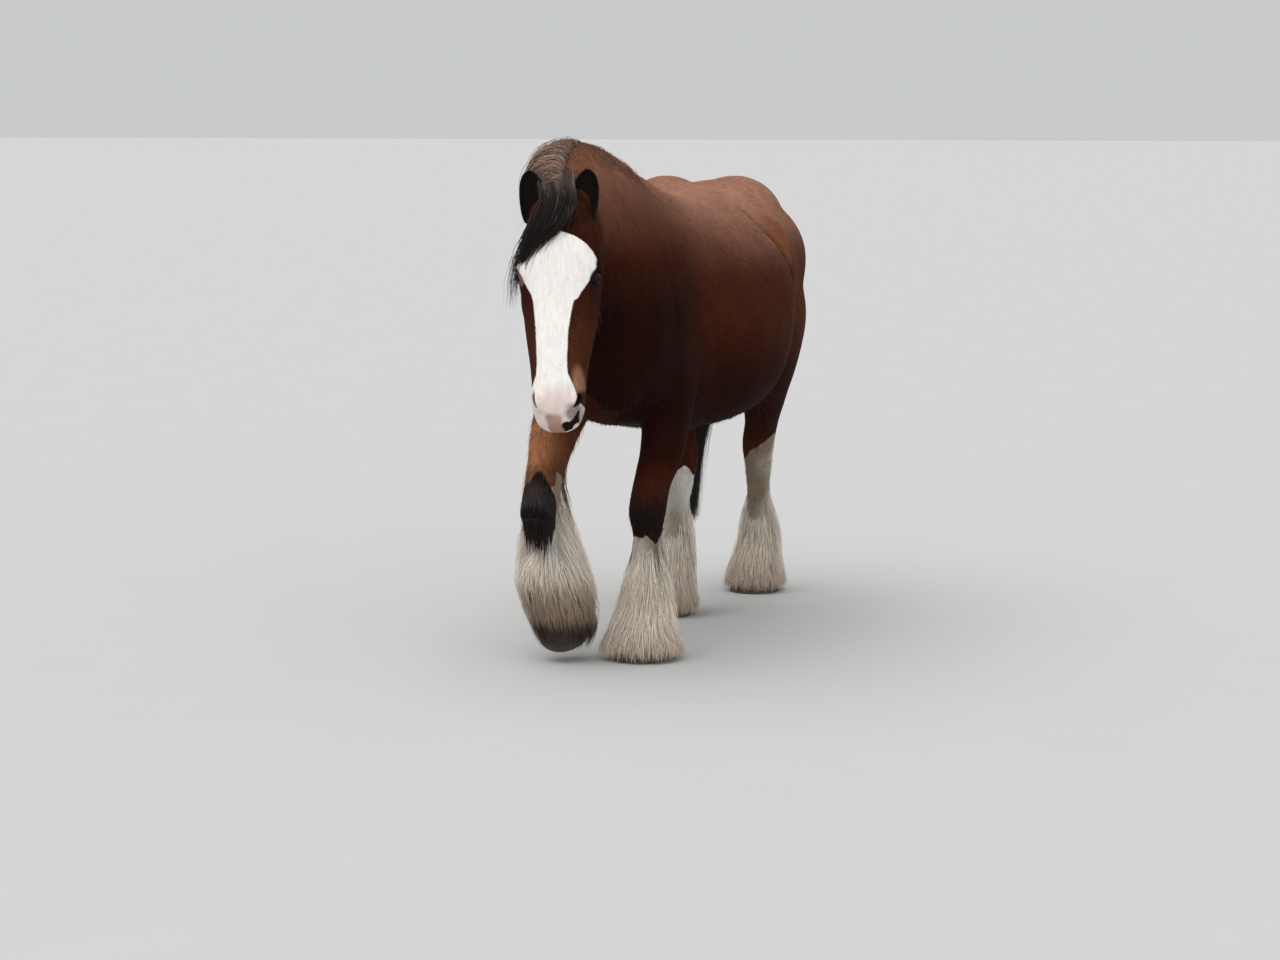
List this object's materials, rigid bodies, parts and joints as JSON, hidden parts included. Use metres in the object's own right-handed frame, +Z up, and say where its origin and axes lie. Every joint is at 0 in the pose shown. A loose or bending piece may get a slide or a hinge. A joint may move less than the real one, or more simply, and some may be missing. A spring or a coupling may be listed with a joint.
{
  "type": "clydesdale horse",
  "caption": "Still life-size model of a walking heavy draught horse, bay with a white blaze and white feathered legs, one forefoot lifted.",
  "frame": {"origin": "middle of the bounding box, on the floor", "axes": "the horse faces -Y, its left side is at +X, and +Z is up"},
  "size_m": [0.8078, 2.528, 1.7846],
  "materials": {
    "bay_coat": "short glossy hair",
    "white_feather": "long silky hair",
    "black_hair": "long coarse hair",
    "ear": "short hair",
    "hoof_horn": "dull horn",
    "eye": "wet gloss"
  },
  "bodies": {
    "root": {"ear_left": "ear", "ear_right": "ear", "eye_left": "eye", "eye_right": "eye", "head": "bay_coat", "hoof_fore_left": "hoof_horn", "hoof_fore_right": "hoof_horn", "hoof_hind_left": "hoof_horn", "hoof_hind_right": "hoof_horn", "lower_leg_fore_left": "white_feather", "lower_leg_fore_right": "white_feather", "lower_leg_hind_left": "white_feather", "lower_leg_hind_right": "white_feather", "neck": "bay_coat", "tail": "black_hair", "torso": "bay_coat", "upper_leg_fore_left": "bay_coat", "upper_leg_fore_right": "bay_coat", "upper_leg_hind_left": "bay_coat", "upper_leg_hind_right": "bay_coat"}
  },
  "joints": []
}
